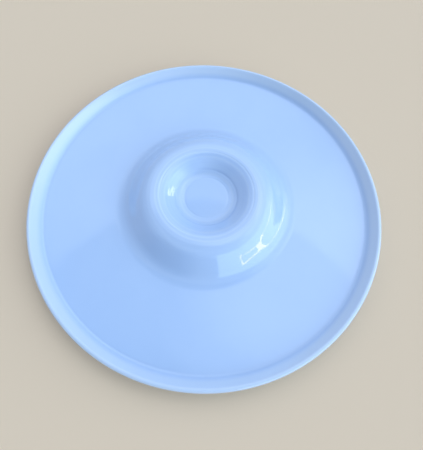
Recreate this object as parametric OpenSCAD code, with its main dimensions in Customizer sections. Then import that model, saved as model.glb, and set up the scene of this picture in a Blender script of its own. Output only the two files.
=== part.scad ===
// Round serving plate with a low raised ring in its middle, a smooth well inside
// that ring, a broad level floor around it and a low rim with a rolled lip.
// The plate is one casting. Its regions meet on plain circular faces, so that
// each region is a solid of its own: the bottom and side of the well, the crest
// and outer flank of the raised ring, the floor, the band and lip of the rim,
// and the foot ring underneath.
// The origin is on the table, under the centre. Heights are measured from there.

/* [Whole plate] */
// Diameter over the lip
plate_d = 300; // [260:1:360]
// Thickness of the porcelain, everywhere but in the foot ring
wall = 4.5; // [3.5:0.1:5.5]

/* [Raised ring] */
// Diameter of the crest, measured along the middle of its level top
crest_d = 87; // [80:0.5:100]
// Width of the level top
crest_w = 1; // [0.4:0.1:3]
// Height of the crest above the floor
crest_h = 18.5; // [15:0.1:22]
// Slope of the outer flank at its steepest
flank_angle = 43; // [38:0.5:50]
// Radius of the rounding between the crest and the outer flank
shoulder_r = 18.5; // [12:0.1:22]
// Radius of the hollow between the outer flank and the floor
flank_foot_r = 20; // [12:0.1:24]

/* [Well] */
// Depth of the well below the crest
well_depth = 10.5; // [8:0.1:13]
// Slope of the well's side at its steepest
well_angle = 36; // [32:0.5:42]
// Radius of the rounding between the crest and the well's side
well_brow_r = 17.5; // [12:0.1:20]
// Radius of the hollow between the well's side and its level bottom
well_fillet_r = 14; // [8:0.1:18]

/* [Rim] */
// Height of the lip above the floor
rim_h = 7.6; // [6:0.1:10]
// Slope of the band between the floor and the lip
rim_angle = 44; // [40:0.5:50]
// Radius of the hollow between the floor and the band
rim_fillet_r = 4; // [2.5:0.1:8]
// Radius of the rolled top of the lip
lip_r = 2.2; // [1.6:0.1:2.4]
// Radius of the edge under the lip
lip_under_r = 2.2; // [1.2:0.1:2.4]

/* [Foot ring] */
// Distance from the rim's hollow in to the foot ring's resting face
foot_inset = 17.6; // [10:0.1:24]
// Width of the resting face, with its rounded edges
foot_w = 4; // [3:0.1:6]
// Height of the foot ring
foot_h = 4.5; // [3.5:0.1:6]
// How far the ring's sides spread, each way, from the table up to the floor
foot_spread = 2; // [1:0.1:3]
// Radius of the edges at the table
foot_edge_r = 1.2; // [0.6:0.1:1.6]

/* [Hidden] */

glaze_colour = "aliceblue";
bare_colour = "antiquewhite";

// Largest turn between two points of a rounded corner, in degrees
arc_step = 4;
// Facets round the plate
$fn = 180;

// Levels above the table
floor_z = foot_h + wall;
crest_z = floor_z + crest_h;
well_z = crest_z - well_depth;

// Corners that the roundings cut off, as distances from the axis
crest_r = crest_d / 2;
well_brow_x = crest_r - crest_w / 2 - well_brow_r * tan(well_angle / 2);
well_floor_x = well_brow_x - well_depth / tan(well_angle);
shoulder_x = crest_r + crest_w / 2 + shoulder_r * tan(flank_angle / 2);
flank_foot_x = shoulder_x + crest_h / tan(flank_angle);
plate_r = plate_d / 2;
lip_corner_z = floor_z + rim_h - lip_r + lip_r * (1 + sin(rim_angle)) / cos(rim_angle);
rim_foot_x = plate_r - (lip_corner_z - floor_z) / tan(rim_angle);

// The level floor lies between the hollows of the ring's flank and of the rim,
// and the lip is as wide as the wall is thick
floor_start = flank_foot_x + (flank_foot_r + wall) * tan(flank_angle / 2);
floor_end = rim_foot_x - (rim_fillet_r + wall) * tan(rim_angle / 2);
lip_start = plate_r - wall;

// Corners of the upper side, each [distance from the axis, height, radius]
upper_corners = [
    [0, well_z, 0],
    [well_floor_x, well_z, well_fillet_r],
    [well_brow_x, crest_z, well_brow_r],
    [shoulder_x, crest_z, shoulder_r],
    [flank_foot_x, floor_z, flank_foot_r],
    [rim_foot_x, floor_z, rim_fillet_r],
    [plate_r, lip_corner_z, lip_r]
];

// The under side follows the upper one at the wall's thickness. Each corner
// shifts sideways with the slope that meets it, and its radius grows where the
// upper side is hollow and shrinks where that side is rounded.
well_shift = wall * tan(well_angle / 2);
flank_shift = wall * tan(flank_angle / 2);
rim_shift = wall * tan(rim_angle / 2);
under_corners = [
    [plate_r, lip_corner_z - wall / cos(rim_angle), lip_under_r],
    [rim_foot_x + rim_shift, foot_h, rim_fillet_r + wall],
    [flank_foot_x - flank_shift, foot_h, flank_foot_r + wall],
    [shoulder_x - flank_shift, crest_z - wall, shoulder_r - wall],
    [well_brow_x + well_shift, crest_z - wall, well_brow_r - wall],
    [well_floor_x + well_shift, well_z - wall, well_fillet_r + wall],
    [0, well_z - wall, 0]
];

// Direction from one corner to another, and the length between them
function leg(a, b) = [b.x - a.x, b.y - a.y];
// Turn of the outline at corner i, positive to the left
function turn(c, i) =
    let (u = leg(c[i - 1], c[i]), v = leg(c[i], c[i + 1]))
    atan2(u.x * v.y - u.y * v.x, u.x * v.x + u.y * v.y);
// Length that the rounding of corner i takes from each of its legs
function reach(c, i) =
    i == 0 || i == len(c) - 1 ? 0 : c[i].z * tan(abs(turn(c, i)) / 2);
// Share of its radius that corner i keeps where two roundings fill a leg
function kept_share(c, i) = min(
    1,
    norm(leg(c[i - 1], c[i])) / (reach(c, i - 1) + reach(c, i)),
    norm(leg(c[i], c[i + 1])) / (reach(c, i) + reach(c, i + 1))
);
// Points of the rounded corner i
function corner_arc(c, i) =
    let (
        bend = turn(c, i),
        side = sign(bend),
        r = c[i].z * kept_share(c, i),
        u = leg(c[i - 1], c[i]),
        heading = atan2(u.y, u.x),
        back = r * tan(abs(bend) / 2),
        start = [c[i].x - back * cos(heading), c[i].y - back * sin(heading)],
        centre = [start.x - side * r * sin(heading), start.y + side * r * cos(heading)],
        steps = ceil(abs(bend) / arc_step)
    )
    [for (k = [0:steps])
        let (a = heading + bend * k / steps)
        [centre.x + side * r * sin(a), centre.y - side * r * cos(a)]];
// A chain of corners with its roundings, its two ends kept sharp
function rounded(c) = [
    for (i = [0:len(c) - 1])
        each (i == 0 || i == len(c) - 1 ? [[c[i].x, c[i].y]] : corner_arc(c, i))
];

// Half section of the plate without its foot ring
plate_section = rounded(concat(upper_corners, under_corners));

// Half section of the foot ring
foot_r = floor_end - foot_inset;
foot_section = rounded([
    [foot_r - foot_w - foot_spread, foot_h, 0],
    [foot_r - foot_w, 0, foot_edge_r],
    [foot_r, 0, foot_edge_r],
    [foot_r + foot_spread, foot_h, 0]
]);

// The part of the casting between two distances from the axis
module casting(from, to) {
    rotate_extrude()
        intersection() {
            polygon(plate_section);
            translate([from, 0]) square([to - from, crest_z]);
        }
}

module well_bottom() {
    color(glaze_colour) casting(0, well_floor_x);
}

module well_side() {
    color(glaze_colour) casting(well_floor_x, well_brow_x);
}

module ring_crest() {
    color(glaze_colour) casting(well_brow_x, shoulder_x);
}

module ring_flank() {
    color(glaze_colour) casting(shoulder_x, floor_start);
}

module serving_floor() {
    color(glaze_colour) casting(floor_start, floor_end);
}

module rim_band() {
    color(glaze_colour) casting(floor_end, lip_start);
}

module lip() {
    color(glaze_colour) casting(lip_start, plate_r);
}

module foot_ring() {
    color(bare_colour) rotate_extrude() polygon(foot_section);
}

well_bottom();
well_side();
ring_crest();
ring_flank();
serving_floor();
rim_band();
lip();
foot_ring();
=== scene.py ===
import math

import bmesh
import bpy
from mathutils import Matrix, Quaternion, Vector


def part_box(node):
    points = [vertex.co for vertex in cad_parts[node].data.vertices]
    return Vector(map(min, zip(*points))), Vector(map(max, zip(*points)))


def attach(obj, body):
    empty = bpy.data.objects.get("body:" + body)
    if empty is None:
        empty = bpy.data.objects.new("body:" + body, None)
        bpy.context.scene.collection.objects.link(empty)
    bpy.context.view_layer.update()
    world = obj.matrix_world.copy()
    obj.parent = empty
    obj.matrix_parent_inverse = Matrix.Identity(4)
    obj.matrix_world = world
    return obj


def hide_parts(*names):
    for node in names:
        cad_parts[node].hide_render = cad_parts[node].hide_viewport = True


# A round serving plate of white glazed porcelain with a low raised ring and a
# smooth well in its middle, seen from above and in front.

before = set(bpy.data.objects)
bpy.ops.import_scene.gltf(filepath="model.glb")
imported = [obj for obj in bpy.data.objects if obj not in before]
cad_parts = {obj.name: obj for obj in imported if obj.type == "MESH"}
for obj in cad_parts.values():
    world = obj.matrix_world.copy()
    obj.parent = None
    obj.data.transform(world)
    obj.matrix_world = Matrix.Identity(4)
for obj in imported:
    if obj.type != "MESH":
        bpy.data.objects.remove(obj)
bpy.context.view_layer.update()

MM = 0.001

# Camera. The image is taken as 423 by 450 pixels.
IMAGE_W = 423
IMAGE_H = 450
SENSOR_W = 36
FOCAL_PX = 380
CENTRE_PX_X = 211.5
CENTRE_PX_Y = 200
CAMERA_ELEVATION = math.radians(65.3)
CAMERA_ROLL = math.radians(4.4)
CAMERA_DISTANCE = 326.1 * MM
CAMERA_NEAR = 10 * MM
AIM_SIDEWAYS = -4.3 * MM
AIM_UP = 1.8 * MM
AIM_LEVEL = 15.8 * MM

# Levels, read from the frame. The table is at zero.
under_z, floor_z = (corner.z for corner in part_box("serving_floor"))
crest_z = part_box("ring_crest")[1].z
wall = floor_z - under_z
well_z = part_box("well_bottom")[0].z + wall

# The turned section, in the sizes of the casting
PLATE_R = 150 * MM
CREST_R = 43.5 * MM
CREST_W = 1 * MM
FLANK_ANGLE = math.radians(43)
SHOULDER_RADIUS = 18.5 * MM
FLANK_FOOT_RADIUS = 20 * MM
WELL_ANGLE = math.radians(36)
WELL_BROW_RADIUS = 17.5 * MM
WELL_FILLET_RADIUS = 14 * MM
RIM_H = 7.6 * MM
RIM_ANGLE = math.radians(44)
RIM_FILLET_RADIUS = 4 * MM
LIP_RADIUS = 2.2 * MM
LIP_UNDER_RADIUS = 2.2 * MM

# The foot ring: its resting face and roots, how far it is let into the casting, and the wavy
# glaze line on its sides
FOOT_INSET = 17.6 * MM
FOOT_W = 4 * MM
FOOT_SPREAD = 2 * MM
FOOT_EDGE_RADIUS = 1.2 * MM
FOOT_ROOT_RADIUS = 3 * MM
FOOT_SEAT = 0.3 * MM
GLAZE_LINE_Z = 0.9 * MM
GLAZE_LINE_WAVE = 0.12 * MM
GLAZE_LINE_LOBES = (5, 13)
GLAZE_LINE_PHASE = 1

# How finely the section is cut. Its first corners are the ones that show from above.
UPPER_CORNERS = 7
ARC_STEP = math.radians(4)
FINE_R = 72 * MM
FINE_RIM_R = 137 * MM
FINE_LENGTH = 0.45 * MM
COARSE_LENGTH = 1.8 * MM
UNDER_LENGTH = 2.6 * MM
TURNS = 240
MERGE_DISTANCE = 0.001 * MM

# What turning left on the upper side: a faint wave all over it, which fades at the middle and at
# the lip, and single marks as (distance from the axis, depth, half width). The two broad marks
# split the light on the flank of the ring, and the last one is the crease of the rim.
WAVE_HEIGHT = 0.002 * MM
WAVE_PITCH = 3.1 * MM
WAVE_FADE = WAVE_PITCH * 3
MARKS = [
    (18.8 * MM, 0.07 * MM, 0.5 * MM),
    (21.4 * MM, 0.02 * MM, 0.5 * MM),
    (25.8 * MM, 0.16 * MM, 0.5 * MM),
    (28.9 * MM, 0.012 * MM, 0.5 * MM),
    (31.6 * MM, 0.012 * MM, 0.5 * MM),
    (34.2 * MM, 0.012 * MM, 0.5 * MM),
    (37.0 * MM, 0.03 * MM, 0.5 * MM),
    (39.6 * MM, 0.16 * MM, 0.5 * MM),
    (41.9 * MM, 0.07 * MM, 0.5 * MM),
    (45.6 * MM, 0.04 * MM, 0.5 * MM),
    (48.6 * MM, 0.03 * MM, 0.5 * MM),
    (51.4 * MM, 0.02 * MM, 0.5 * MM),
    (59.2 * MM, -0.07 * MM, 1.8 * MM),
    (63.3 * MM, 0.07 * MM, 1.8 * MM),
    (140.7 * MM, 0.06 * MM, 0.5 * MM),
]

# The slow warp of the fired casting. Its noise stays under the top, so that it only lowers.
WARP_HEIGHT = 0.06 * MM
WARP_SIZE = 70 * MM
WARP_TOP = 0.9
WARP_SEED = 7

# The part of a noise's range that most of it lies in
NOISE_RANGE = (0.3, 0.7)

# The glaze, in tones of its body, of where it is darker and of where it is paler. The darker and
# paler rings are partly thick and thin glaze and partly painted shade and painted highlight; they
# are given as (distance from the axis, half width, share).
BODY_TONES = ((0.450, 0.645, 0.982), (0.464, 0.658, 0.990))
POOLED_AND_SHADED_TONE = (0.418, 0.608, 0.962)
THIN_AND_LIT_TONE = (0.568, 0.734, 0.992)
# Darker rings: partly thicker glaze, partly painted shade at the ring's foot, in the rim's crease
# and along the dark turning arcs of the well and crest
POOLED_AND_SHADED_RINGS = [
    (71 * MM, 10 * MM, 0.1),
    (138.5 * MM, 3 * MM, 0.5),
    (26.6 * MM, 1.5 * MM, 0.9),
    (31.2 * MM, 0.8 * MM, 0.3),
    (33.6 * MM, 0.8 * MM, 0.3),
    (37.4 * MM, 1.7 * MM, 0.7),
    (41.3 * MM, 0.8 * MM, 0.6),
    (47 * MM, 1.2 * MM, 0.3),
]
# Paler rings: partly thinner glaze, partly a painted highlight on the crest and along the light
# turning arcs
THIN_AND_LIT_RINGS = [
    (44 * MM, 11 * MM, 0.25),
    (22.5 * MM, 1.6 * MM, 0.3),
    (35.3 * MM, 0.9 * MM, 0.3),
    (39.6 * MM, 1.0 * MM, 0.55),
    (43.2 * MM, 1.3 * MM, 0.65),
]
# Painted light: from here out the rim band and the lip are paler, which lifts the shade on the
# band; partly thinner glaze
THIN_AND_LIT_RIM_R = (139.5 * MM, 143.5 * MM)
CLOUD_SIZE = 38 * MM
GRAIN_SIZE = 1.6 * MM
GLAZE_ROUGHNESS = (0.03, 0.07)
COAT_ROUGHNESS = 0.03
GLAZE_IOR = 1.5
GLAZE_WAVE_SIZE = 15 * MM
GLAZE_WAVE_HEIGHT = 0.07 * MM
PEEL_HEIGHT = 0.0016 * MM

# Rare pits in the glaze. Their edge is in shares of the spacing.
PIT_TONE = (0.2, 0.26, 0.36)
PIT_TONE_SHARE = 0.4
PIT_SPACING = 9 * MM
PIT_EDGE = (0.008, 0.016)
PIT_DEPTH = 0.03 * MM
PIT_PATCH_SIZE = 22 * MM
PIT_PATCH_START = 0.6

# The bare resting face
BARE_TONES = ((0.60, 0.60, 0.58), (0.70, 0.69, 0.66))
BARE_CLOUD_SIZE = 9 * MM
GRIT_SIZE = 0.35 * MM
GRIT_TONE = (0.36, 0.35, 0.33)
GRIT_TONE_RANGE = (0.28, 0.4)
GRIT_TONE_SHARE = 0.3
GRIT_RANGE = (0.2, 0.8)
GRIT_HEIGHT = 0.06 * MM
BARE_ROUGHNESS = (0.72, 0.92)

# The floor that the plate stands on
TABLE_HALF = 4
TABLE_TONE = (0.80, 0.65, 0.49)
TABLE_ROUGHNESS = 0.8

# Light, in shares of white. Azimuths run from the right towards the back, and they and the
# elevations are in degrees. Two of them are the start and the end of a soft edge, and four are
# the soft edges at both sides.
# The dome is brighter at the back and right, dimmer low at the front left and overhead, and has
# a bright patch of sky high at the back right.
DOME_TINT = (0.89, 1.0, 1.16)
DOME_LEVEL = 0.62
BACK_LEVEL = 0.6
BACK_AZ = (-45, -5, 125, 165)
BACK_EL = (25, 45)
SHADE_LEVEL = -0.4
SHADE_AZ = (-172, -142, -118, -88)
SHADE_EL = (40, 60)
SKY_LEVEL = 0.9
SKY_AZ = 45
SKY_EL = 70
SKY_REACH = (5, 20)
OVERHEAD_EL = (64.5, 66.5)
OVERHEAD_SHARE = 0.5
# The large soft panel on the right
PANEL_TINT = (0.74, 0.97, 1.07)
PANEL_LEVEL = 1.26
PANEL_AZ = (-72.4, -71.4, 5, 48)
PANEL_EL = (37, 43)
# The thin strip across the panel. It is lowest in the middle and rises to its ends, widens from
# one half width to another, and hangs lower at its knots, which are given as (azimuths, degrees).
STRIP_TINT = (1.0, 0.84, 0.88)
STRIP_LEVEL = 4.8
STRIP_AZ = (-47, -46, 17, 29)
STRIP_MIDDLE_AZ = -8
STRIP_EL = 9
STRIP_END_EL = 15.5
STRIP_HALF = (0.5, 1.6)
STRIP_WIDENS_AZ = (-12, 10)
STRIP_FULL_SHARE = 0.6
STRIP_KNOTS = [
    ((-27, -23.5, -19.5, -16), 1.9),
    ((-48, -47, -45.8, -44.8), 1.9),
]
# The plain backdrop that the camera sees in place of them
BACKDROP_TINT = (0.76, 0.73, 0.68)
# The small lamp that glints in the well, as a place, a width and a height, a tilt and watts
LAMP_PLACE = (0.986, 0.460, 0.507)
LAMP_SIZE = (0.42, 0.019)
LAMP_TILT = math.radians(-21)
LAMP_POWER = 0.1


def make_camera():
    """The camera of the photograph, from its elevation, roll and distance to the plate's axis."""
    e = CAMERA_ELEVATION
    side = Vector((1, 0, 0))
    up = Vector((0, math.sin(e), math.cos(e)))
    forward = Vector((0, math.cos(e), -math.sin(e)))
    turn = CAMERA_ROLL
    rolled_side = side * math.cos(turn) + up * math.sin(turn)
    rolled_up = up * math.cos(turn) - side * math.sin(turn)
    aim = rolled_side * AIM_SIDEWAYS + rolled_up * AIM_UP + forward * CAMERA_DISTANCE
    place = Vector((0, 0, AIM_LEVEL)) - aim
    data = bpy.data.cameras.new("camera")
    data.sensor_fit = "HORIZONTAL"
    data.sensor_width = SENSOR_W
    data.lens = FOCAL_PX / IMAGE_W * SENSOR_W
    data.shift_x = (IMAGE_W / 2 - CENTRE_PX_X) / IMAGE_W
    data.shift_y = (CENTRE_PX_Y - IMAGE_H / 2) / IMAGE_W
    data.clip_start = CAMERA_NEAR
    camera = bpy.data.objects.new("camera", data)
    axes = Matrix((rolled_side, rolled_up, -forward)).transposed()
    camera.matrix_world = Matrix.Translation(place) @ axes.to_4x4()
    bpy.context.scene.collection.objects.link(camera)
    bpy.context.scene.camera = camera


def rim_ends():
    """How far from the axis the line of the rim's band meets the floor, and how high it meets the
    upright line at the plate's edge. The lip is rounded off inside that upper corner."""
    lip_top = (1 + math.sin(RIM_ANGLE)) / math.cos(RIM_ANGLE)
    lip_z = floor_z + RIM_H - LIP_RADIUS + LIP_RADIUS * lip_top
    rim_x = PLATE_R - (lip_z - floor_z) / math.tan(RIM_ANGLE)
    return rim_x, lip_z


def section_corners():
    """Corners of the plate's half section as (distance from the axis, height, radius), from the
    middle of the upper side round the lip to the middle of the under side."""
    half = {a: math.tan(a / 2) for a in (WELL_ANGLE, FLANK_ANGLE, RIM_ANGLE)}
    brow_x = CREST_R - CREST_W / 2 - WELL_BROW_RADIUS * half[WELL_ANGLE]
    well_x = brow_x - (crest_z - well_z) / math.tan(WELL_ANGLE)
    shoulder_x = CREST_R + CREST_W / 2 + SHOULDER_RADIUS * half[FLANK_ANGLE]
    flank_x = shoulder_x + (crest_z - floor_z) / math.tan(FLANK_ANGLE)
    rim_x, lip_z = rim_ends()
    upper = [
        (0, well_z, 0),
        (well_x, well_z, WELL_FILLET_RADIUS),
        (brow_x, crest_z, WELL_BROW_RADIUS),
        (shoulder_x, crest_z, SHOULDER_RADIUS),
        (flank_x, floor_z, FLANK_FOOT_RADIUS),
        (rim_x, floor_z, RIM_FILLET_RADIUS),
        (PLATE_R, lip_z, LIP_RADIUS),
    ]
    under = [
        (PLATE_R, lip_z - wall / math.cos(RIM_ANGLE), LIP_UNDER_RADIUS),
        (rim_x + wall * half[RIM_ANGLE], under_z, RIM_FILLET_RADIUS + wall),
        (flank_x - wall * half[FLANK_ANGLE], under_z, FLANK_FOOT_RADIUS + wall),
        (shoulder_x - wall * half[FLANK_ANGLE], crest_z - wall, SHOULDER_RADIUS - wall),
        (brow_x + wall * half[WELL_ANGLE], crest_z - wall, WELL_BROW_RADIUS - wall),
        (well_x + wall * half[WELL_ANGLE], well_z - wall, WELL_FILLET_RADIUS + wall),
        (0, well_z - wall, 0),
    ]
    return upper + under


def rounded(corners, shown):
    """Points along a chain of rounded corners, with the straight stretches cut up too. The first
    corners, as many as are shown from above, are cut finest."""
    points = [Vector(corners[0][:2])]
    for index, (before, corner, after) in enumerate(zip(corners, corners[1:], corners[2:]), 1):
        here = Vector(corner[:2])
        into = (here - Vector(before[:2])).normalized()
        out = (Vector(after[:2]) - here).normalized()
        bend = math.atan2(into.x * out.y - into.y * out.x, into.dot(out))
        radius = corner[2]
        start = here - into * radius * math.tan(abs(bend) / 2)
        side = math.copysign(1, bend)
        centre = start + Vector((-into.y, into.x)) * side * radius
        step = spacing(here, index < shown)
        steps = max(math.ceil(abs(bend) / ARC_STEP), math.ceil(abs(bend) * radius / step))
        add_straight(points, start, index < shown)
        arm = start - centre
        for k in range(1, steps + 1):
            points.append(centre + Matrix.Rotation(bend * k / steps, 2) @ arm)
    add_straight(points, Vector(corners[-1][:2]), len(corners) <= shown)
    return points


def spacing(point, shown):
    """How far apart the section's points may lie: closest on the well, the crest and the rim."""
    if not shown:
        return UNDER_LENGTH
    if point.x < FINE_R or point.x > FINE_RIM_R:
        return FINE_LENGTH
    return COARSE_LENGTH


def add_straight(points, end, shown):
    """Adds points from the last one to end, no further apart than the spacing there."""
    start = points[-1]
    steps = math.ceil((end - start).length / spacing((start + end) / 2, shown))
    for k in range(1, steps + 1):
        points.append(start.lerp(end, k / steps))


def marked(points):
    """Cuts the wave and the marks that turning left into the upper side of the section."""
    widest = max(range(len(points)), key=lambda i: points[i].x)
    for p in points[:widest]:
        fade = min(1, p.x / WAVE_FADE) * min(1, (PLATE_R - p.x) / WAVE_FADE)
        p.y += WAVE_HEIGHT * fade * (math.sin(math.tau * p.x / WAVE_PITCH) - 1)
        for radius, depth, half_width in MARKS:
            p.y -= depth * math.exp(-((p.x - radius) / half_width) ** 2 / 2)
    return points


def foot_points():
    """The foot ring's section, closed, from its inner root down round its resting face and up."""
    rim_x, _ = rim_ends()
    level_end = rim_x - (RIM_FILLET_RADIUS + wall) * math.tan(RIM_ANGLE / 2)
    outer = level_end - FOOT_INSET
    inner = outer - FOOT_W
    lean = math.atan2(FOOT_SPREAD, under_z)
    root = FOOT_ROOT_RADIUS * math.tan((math.pi / 2 - lean) / 2)
    seat_z = under_z + FOOT_SEAT
    return rounded([
        (inner - FOOT_SPREAD - root, seat_z, 0),
        (inner - FOOT_SPREAD - root, under_z, 0),
        (inner - FOOT_SPREAD, under_z, FOOT_ROOT_RADIUS),
        (inner, 0, FOOT_EDGE_RADIUS),
        (outer, 0, FOOT_EDGE_RADIUS),
        (outer + FOOT_SPREAD, under_z, FOOT_ROOT_RADIUS),
        (outer + FOOT_SPREAD + root, under_z, 0),
        (outer + FOOT_SPREAD + root, seat_z, 0),
        (inner - FOOT_SPREAD - root, seat_z, 0),
    ], 0)


def outline_object(name, points):
    """A chain of edges in the XZ plane."""
    mesh = bpy.data.meshes.new(name)
    edges = [(i, i + 1) for i in range(len(points) - 1)]
    mesh.from_pydata([(p.x, 0, p.y) for p in points], edges, [])
    made = bpy.data.objects.new(name, mesh)
    bpy.context.scene.collection.objects.link(made)
    return made


def turning_tree():
    """A node tree that turns an outline round the Z axis and warps it a little."""
    tree = bpy.data.node_groups.new("turn_outline", "GeometryNodeTree")
    for name, kind in (
        ("Outline", "NodeSocketGeometry"), ("Turns", "NodeSocketInt"),
        ("Warp Height", "NodeSocketFloat"), ("Warp Size", "NodeSocketFloat"),
        ("Seed", "NodeSocketFloat"), ("Finish", "NodeSocketMaterial"),
    ):
        tree.interface.new_socket(name, in_out="INPUT", socket_type=kind)
    tree.interface.new_socket("Turned", in_out="OUTPUT", socket_type="NodeSocketGeometry")
    add = tree.nodes.new
    link = tree.links.new
    given = add("NodeGroupInput").outputs

    def worked_out(kind, operation, values):
        node = add(kind)
        node.operation = operation
        for socket, value in zip(node.inputs, values):
            if isinstance(value, (int, float)):
                socket.default_value = value
            else:
                link(value, socket)
        return node.outputs[0]

    def whole(operation, *values):
        return worked_out("FunctionNodeIntegerMath", operation, values)

    def number(operation, *values):
        return worked_out("ShaderNodeMath", operation, values)

    # A sheet with a row for each point of the outline and a column for each turn, and one more
    size = add("GeometryNodeAttributeDomainSize")
    link(given["Outline"], size.inputs["Geometry"])
    columns = whole("ADD", given["Turns"], 1)
    sheet = add("GeometryNodeMeshGrid")
    link(size.outputs["Point Count"], sheet.inputs["Vertices X"])
    link(columns, sheet.inputs["Vertices Y"])
    index = add("GeometryNodeInputIndex").outputs[0]
    row = whole("DIVIDE_FLOOR", index, columns)
    column = whole("MODULO", index, columns)

    # Each point of the sheet goes to its point of the outline, swung round by its column
    place = add("GeometryNodeInputPosition").outputs[0]
    sample = add("GeometryNodeSampleIndex")
    sample.data_type = "FLOAT_VECTOR"
    link(given["Outline"], sample.inputs["Geometry"])
    link(place, sample.inputs["Value"])
    link(row, sample.inputs["Index"])
    angle = number("MULTIPLY", number("DIVIDE", column, given["Turns"]), math.tau)
    swing = add("ShaderNodeVectorRotate")
    swing.rotation_type = "Z_AXIS"
    link(sample.outputs[0], swing.inputs["Vector"])
    link(angle, swing.inputs["Angle"])
    wrap = add("GeometryNodeSetPosition")
    link(sheet.outputs["Mesh"], wrap.inputs["Geometry"])
    link(swing.outputs[0], wrap.inputs["Position"])

    # The seam and the points on the axis are joined
    merge = add("GeometryNodeMergeByDistance")
    merge.inputs["Distance"].default_value = MERGE_DISTANCE
    link(wrap.outputs[0], merge.inputs["Geometry"])

    noise = add("ShaderNodeTexNoise")
    noise.noise_dimensions = "4D"
    noise.inputs["Detail"].default_value = 0
    link(place, noise.inputs["Vector"])
    link(given["Seed"], noise.inputs["W"])
    link(number("DIVIDE", 1, given["Warp Size"]), noise.inputs["Scale"])
    below_top = number("SUBTRACT", noise.outputs[0], WARP_TOP)
    upward = add("ShaderNodeCombineXYZ")
    link(number("MULTIPLY", below_top, given["Warp Height"]), upward.inputs["Z"])
    warp = add("GeometryNodeSetPosition")
    link(merge.outputs[0], warp.inputs["Geometry"])
    link(upward.outputs[0], warp.inputs["Offset"])

    smooth = add("GeometryNodeSetShadeSmooth")
    real = add("GeometryNodeRealizeInstances")
    finish = add("GeometryNodeSetMaterial")
    done = add("NodeGroupOutput")
    link(warp.outputs[0], smooth.inputs[0])
    link(smooth.outputs[0], real.inputs[0])
    link(real.outputs[0], finish.inputs["Geometry"])
    link(given["Finish"], finish.inputs["Material"])
    link(finish.outputs[0], done.inputs[0])
    return tree


def turned(name, points, tree, finish, warp_height):
    """A closed mesh made by turning an outline, with its faces pointing outwards."""
    source = outline_object(name + "_outline", points)
    modifier = source.modifiers.new("turn", "NODES")
    modifier.node_group = tree
    values = {
        "Turns": TURNS,
        "Warp Height": warp_height,
        "Warp Size": WARP_SIZE,
        "Seed": float(WARP_SEED),
        "Finish": finish,
    }
    for item in tree.interface.items_tree:
        if item.in_out == "INPUT" and item.name in values:
            modifier[item.identifier] = values[item.name]
    graph = bpy.context.evaluated_depsgraph_get()
    mesh = bpy.data.meshes.new_from_object(source.evaluated_get(graph))
    mesh.name = name
    bpy.data.objects.remove(source)
    shape = bmesh.new()
    shape.from_mesh(mesh)
    bmesh.ops.recalc_face_normals(shape, faces=shape.faces)
    shape.to_mesh(mesh)
    shape.free()
    made = bpy.data.objects.new(name, mesh)
    bpy.context.scene.collection.objects.link(made)
    return made


class Nodes:
    """A shader node tree, with short ways to add nodes and links."""

    def __init__(self, tree, place):
        self.tree = tree
        self.place = self.node("ShaderNodeTexCoord").outputs[place]

    def node(self, kind, **settings):
        made = self.tree.nodes.new(kind)
        for key, value in settings.items():
            setattr(made, key, value)
        return made

    def feed(self, socket, value):
        """Links a socket to another one, or sets it to a value."""
        if isinstance(value, bpy.types.NodeSocket):
            self.tree.links.new(value, socket)
        else:
            socket.default_value = value

    def split(self):
        """The three coordinates of a place."""
        node = self.node("ShaderNodeSeparateXYZ")
        self.feed(node.inputs[0], self.place)
        return node.outputs[:3]

    def math(self, operation, *values):
        node = self.node("ShaderNodeMath", operation=operation)
        for socket, value in zip(node.inputs, values):
            self.feed(socket, value)
        return node.outputs[0]

    def product(self, *values):
        total = values[0]
        for value in values[1:]:
            total = self.math("MULTIPLY", total, value)
        return total

    def noise(self, size, detail=2.0, roughness=0.5):
        node = self.node("ShaderNodeTexNoise")
        self.feed(node.inputs["Vector"], self.place)
        self.feed(node.inputs["Scale"], 1 / size)
        self.feed(node.inputs["Detail"], detail)
        self.feed(node.inputs["Roughness"], roughness)
        return node.outputs[0]

    def ramp(self, value, low, high, to_low=0.0, to_high=1.0):
        """A soft step from one value to another, as the given one goes from low to high."""
        node = self.node("ShaderNodeMapRange", interpolation_type="SMOOTHSTEP")
        for key, given in (
            ("Value", value), ("From Min", low), ("From Max", high),
            ("To Min", to_low), ("To Max", to_high),
        ):
            self.feed(node.inputs[key], given)
        return node.outputs[0]

    def window(self, value, edges):
        """One between the middle two of four edges, falling softly to nothing at the outer two."""
        rise = self.ramp(value, edges[0], edges[1])
        return self.math("MULTIPLY", rise, self.ramp(value, edges[2], edges[3], 1.0, 0.0))

    def mix(self, share, first, second):
        node = self.node("ShaderNodeMix", data_type="RGBA")
        self.feed(node.inputs["Factor"], share)
        self.feed(node.inputs["A"], first)
        self.feed(node.inputs["B"], second)
        return node.outputs["Result"]

    def bump(self, height, distance, under=None):
        """Normals of a raised surface, on top of the normals of another one if that is given."""
        node = self.node("ShaderNodeBump")
        self.feed(node.inputs["Height"], height)
        self.feed(node.inputs["Distance"], distance)
        if under is not None:
            self.feed(node.inputs["Normal"], under)
        return node.outputs[0]


class Finish(Nodes):
    """A material with its node tree."""

    def __init__(self, name):
        self.material = bpy.data.materials.new(name)
        self.material.use_nodes = True
        super().__init__(self.material.node_tree, "Object")
        self.shader = self.tree.nodes["Principled BSDF"]

    def set(self, **values):
        """Sets or links the shader's own sockets."""
        for key, value in values.items():
            self.feed(self.shader.inputs[key.replace("_", " ")], value)


def opaque(tone):
    return (*tone, 1.0)


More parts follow.
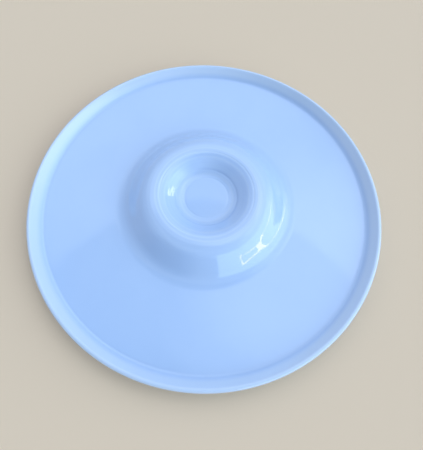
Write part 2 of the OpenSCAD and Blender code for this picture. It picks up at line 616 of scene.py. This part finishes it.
def glaze():
    """Clear glossy glaze on cool white porcelain. It is a little deeper in colour in the hollows
    and along dark arcs, partly thicker glaze and partly painted shade, and paler on the crest,
    along light arcs, on the rim band and on the lip, partly thinner glaze and partly painted
    light."""
    made = Finish("porcelain_glaze")
    x, y, _ = made.split()
    reach = made.math("SQRT", made.math("ADD", made.product(x, x), made.product(y, y)))

    def strongest(first, rings):
        """The greatest of a value and of rings, each falling softly to nothing a half width
        away from its middle."""
        for radius, half_width, share in rings:
            away = made.math("ABSOLUTE", made.math("SUBTRACT", reach, radius))
            ring = made.ramp(away, 0.0, half_width, 1.0, 0.0)
            first = made.math("MAXIMUM", first, made.product(ring, share))
        return first

    cloud = made.noise(CLOUD_SIZE, detail=3.0, roughness=0.55)
    grain = made.noise(GRAIN_SIZE, detail=2.0)
    body = made.mix(made.ramp(cloud, *NOISE_RANGE), *map(opaque, BODY_TONES))
    # Painted shade in the hollows and along the dark arcs, partly thicker glaze
    hollows_and_shade = strongest(0.0, POOLED_AND_SHADED_RINGS)
    pooled_and_shaded = made.mix(hollows_and_shade, body, opaque(POOLED_AND_SHADED_TONE))
    # Painted light on the rim band, lip, crest and light arcs, partly thinner glaze
    edges = strongest(made.ramp(reach, *THIN_AND_LIT_RIM_R), THIN_AND_LIT_RINGS)
    thin_and_lit = made.mix(edges, pooled_and_shaded, opaque(THIN_AND_LIT_TONE))

    specks = made.node("ShaderNodeTexVoronoi", feature="F1")
    made.feed(specks.inputs["Vector"], made.place)
    made.feed(specks.inputs["Scale"], 1 / PIT_SPACING)
    spots = made.ramp(specks.outputs["Distance"], *PIT_EDGE, 1.0, 0.0)
    patches = made.math("GREATER_THAN", made.noise(PIT_PATCH_SIZE, detail=0.0), PIT_PATCH_START)
    pits = made.product(spots, patches)

    made.set(
        Base_Color=made.mix(made.product(pits, PIT_TONE_SHARE), thin_and_lit, opaque(PIT_TONE)),
        Roughness=made.ramp(grain, *NOISE_RANGE, *GLAZE_ROUGHNESS),
        IOR=GLAZE_IOR,
        Coat_Weight=1.0,
        Coat_Roughness=COAT_ROUGHNESS,
        Coat_IOR=GLAZE_IOR,
    )
    waves = made.bump(made.noise(GLAZE_WAVE_SIZE, detail=0.0), GLAZE_WAVE_HEIGHT)
    peel = made.bump(grain, PEEL_HEIGHT, waves)
    pitted = made.bump(pits, -PIT_DEPTH, peel)
    made.set(Normal=pitted, Coat_Normal=pitted)
    return made.material


def bare_porcelain():
    """Ground, unglazed porcelain: matt, slightly warm and finely rough."""
    made = Finish("bare_porcelain")
    cloud = made.noise(BARE_CLOUD_SIZE, detail=4.0, roughness=0.6)
    grit = made.noise(GRIT_SIZE, detail=3.0, roughness=0.7)
    tone = made.mix(made.ramp(cloud, *NOISE_RANGE), *map(opaque, BARE_TONES))
    dark = made.ramp(grit, *GRIT_TONE_RANGE, 1.0, 0.0)
    made.set(
        Base_Color=made.mix(made.product(dark, GRIT_TONE_SHARE), tone, opaque(GRIT_TONE)),
        Roughness=made.ramp(grit, *GRIT_RANGE, *BARE_ROUGHNESS),
        Normal=made.bump(grit, GRIT_HEIGHT),
    )
    return made.material


def bare_face(piece, finish):
    """Gives the faces below the wavy glaze line the bare finish."""
    piece.data.materials.append(finish)
    bare = len(piece.data.materials) - 1
    few, many = GLAZE_LINE_LOBES
    for face in piece.data.polygons:
        c = face.center
        wave = math.sin(few * math.atan2(c.y, c.x))
        wave += math.sin(many * math.atan2(c.x, c.y) + GLAZE_LINE_PHASE)
        if c.z < GLAZE_LINE_Z + wave * GLAZE_LINE_WAVE / 2:
            face.material_index = bare


def make_plate():
    """The glazed casting and its foot ring."""
    tree = turning_tree()
    glazed = glaze()
    section = marked(rounded(section_corners(), UPPER_CORNERS))
    body = turned("glazed_plate", section, tree, glazed, WARP_HEIGHT)
    foot = turned("foot_ring_piece", foot_points(), tree, glazed, 0.0)
    bare_face(foot, bare_porcelain())
    for piece in (body, foot):
        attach(piece, "root")
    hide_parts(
        "well_bottom", "well_side", "ring_crest", "ring_flank",
        "serving_floor", "rim_band", "lip",
    )
    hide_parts("foot_ring")


def make_table():
    """A plain pale floor."""
    made = Finish("pale_floor")
    made.set(Base_Color=opaque(TABLE_TONE), Roughness=TABLE_ROUGHNESS)
    mesh = bpy.data.meshes.new("table")
    sides = ((-1, -1), (1, -1), (1, 1), (-1, 1))
    corners = [(x * TABLE_HALF, y * TABLE_HALF, 0) for x, y in sides]
    mesh.from_pydata(corners, [], [(0, 1, 2, 3)])
    mesh.materials.append(made.material)
    table = bpy.data.objects.new("table", mesh)
    bpy.context.scene.collection.objects.link(table)


def sines(edges):
    """The sines of angles given in degrees."""
    return [math.sin(math.radians(edge)) for edge in edges]


def radians(edges):
    """Angles given in degrees, in radians."""
    return [math.radians(edge) for edge in edges]


def dome(made, azimuth, height):
    """How bright the dome is in each direction. Height is the sine of the elevation."""
    back = made.product(
        made.window(azimuth, radians(BACK_AZ)), made.ramp(height, *sines(BACK_EL)), BACK_LEVEL,
    )
    shade = made.product(
        made.window(azimuth, radians(SHADE_AZ)), made.ramp(height, *sines(SHADE_EL), 1.0, 0.0),
        SHADE_LEVEL,
    )
    level = made.math("ADD", made.math("ADD", back, shade), DOME_LEVEL)
    overhead = made.ramp(height, *sines(OVERHEAD_EL), 1.0, OVERHEAD_SHARE)
    turn, rise = radians((SKY_AZ, SKY_EL))
    aim = made.node("ShaderNodeVectorMath", operation="DOT_PRODUCT")
    made.feed(aim.inputs[0], made.place)
    made.feed(aim.inputs[1], Vector((
        math.cos(turn) * math.cos(rise), math.sin(turn) * math.cos(rise), math.sin(rise),
    )))
    near, far = (math.cos(reach) for reach in radians(SKY_REACH))
    sky = made.product(made.ramp(aim.outputs["Value"], far, near), SKY_LEVEL)
    return made.math("ADD", made.product(level, overhead), sky)


def strip(made, azimuth, height):
    """One on the thin strip and nothing beside it, with soft edges."""
    middle, end = sines((STRIP_EL, STRIP_END_EL))
    middle_az, end_az = radians((STRIP_MIDDLE_AZ, STRIP_AZ[-1]))
    along = made.math("DIVIDE", made.math("SUBTRACT", azimuth, middle_az), end_az - middle_az)
    curve = made.math("ADD", made.product(along, along, end - middle), middle)
    lower = 0.0
    for edges, knot in STRIP_KNOTS:
        drop = made.product(made.window(azimuth, radians(edges)), math.radians(knot))
        lower = made.math("ADD", lower, drop)
    widening = made.ramp(azimuth, *radians(STRIP_WIDENS_AZ), *radians(STRIP_HALF))
    half = made.math("ADD", widening, lower)
    away = made.math("ABSOLUTE", made.math("SUBTRACT", made.math("ADD", height, lower), curve))
    across = made.ramp(away, made.product(half, STRIP_FULL_SHARE), half, 1.0, 0.0)
    return made.product(made.window(azimuth, radians(STRIP_AZ)), across)


def make_world():
    """The dome, the panel and the strip, and the backdrop that the camera sees instead."""
    world = bpy.data.worlds.new("studio")
    world.use_nodes = True
    bpy.context.scene.world = world
    made = Nodes(world.node_tree, "Generated")
    x, y, height = made.split()
    azimuth = made.math("ARCTAN2", y, x)
    on_strip = strip(made, azimuth, height)
    panel = made.product(
        made.window(azimuth, radians(PANEL_AZ)), made.ramp(height, *sines(PANEL_EL), 1.0, 0.0),
        made.math("SUBTRACT", 1.0, on_strip), PANEL_LEVEL,
    )
    total = made.tree.nodes["Background"]
    made.feed(total.inputs["Color"], opaque(DOME_TINT))
    made.feed(total.inputs["Strength"], dome(made, azimuth, height))
    for tint, strength in (
        (PANEL_TINT, panel), (STRIP_TINT, made.product(on_strip, STRIP_LEVEL)),
    ):
        glow = made.node("ShaderNodeBackground")
        made.feed(glow.inputs["Color"], opaque(tint))
        made.feed(glow.inputs["Strength"], strength)
        both = made.node("ShaderNodeAddShader")
        made.feed(both.inputs[0], total.outputs[0])
        made.feed(both.inputs[1], glow.outputs[0])
        total = both
    backdrop = made.node("ShaderNodeBackground")
    made.feed(backdrop.inputs["Color"], opaque(BACKDROP_TINT))
    seen = made.node("ShaderNodeMixShader")
    made.feed(seen.inputs[0], made.node("ShaderNodeLightPath").outputs["Is Camera Ray"])
    made.feed(seen.inputs[1], total.outputs[0])
    made.feed(seen.inputs[2], backdrop.outputs[0])
    made.feed(made.tree.nodes["World Output"].inputs["Surface"], seen.outputs[0])


def make_lamp():
    """The small long lamp, aimed at the middle of the plate."""
    data = bpy.data.lights.new("lamp", "AREA")
    data.shape = "RECTANGLE"
    data.size, data.size_y = LAMP_SIZE
    data.energy = LAMP_POWER
    lamp = bpy.data.objects.new("lamp", data)
    lamp.location = Vector(LAMP_PLACE)
    aimed = (-lamp.location).to_track_quat("-Z", "Y")
    lamp.rotation_euler = (aimed @ Quaternion((0, 0, 1), LAMP_TILT)).to_euler()
    bpy.context.scene.collection.objects.link(lamp)


bpy.context.scene.view_settings.view_transform = "Standard"
make_camera()
make_plate()
make_table()
make_world()
make_lamp()
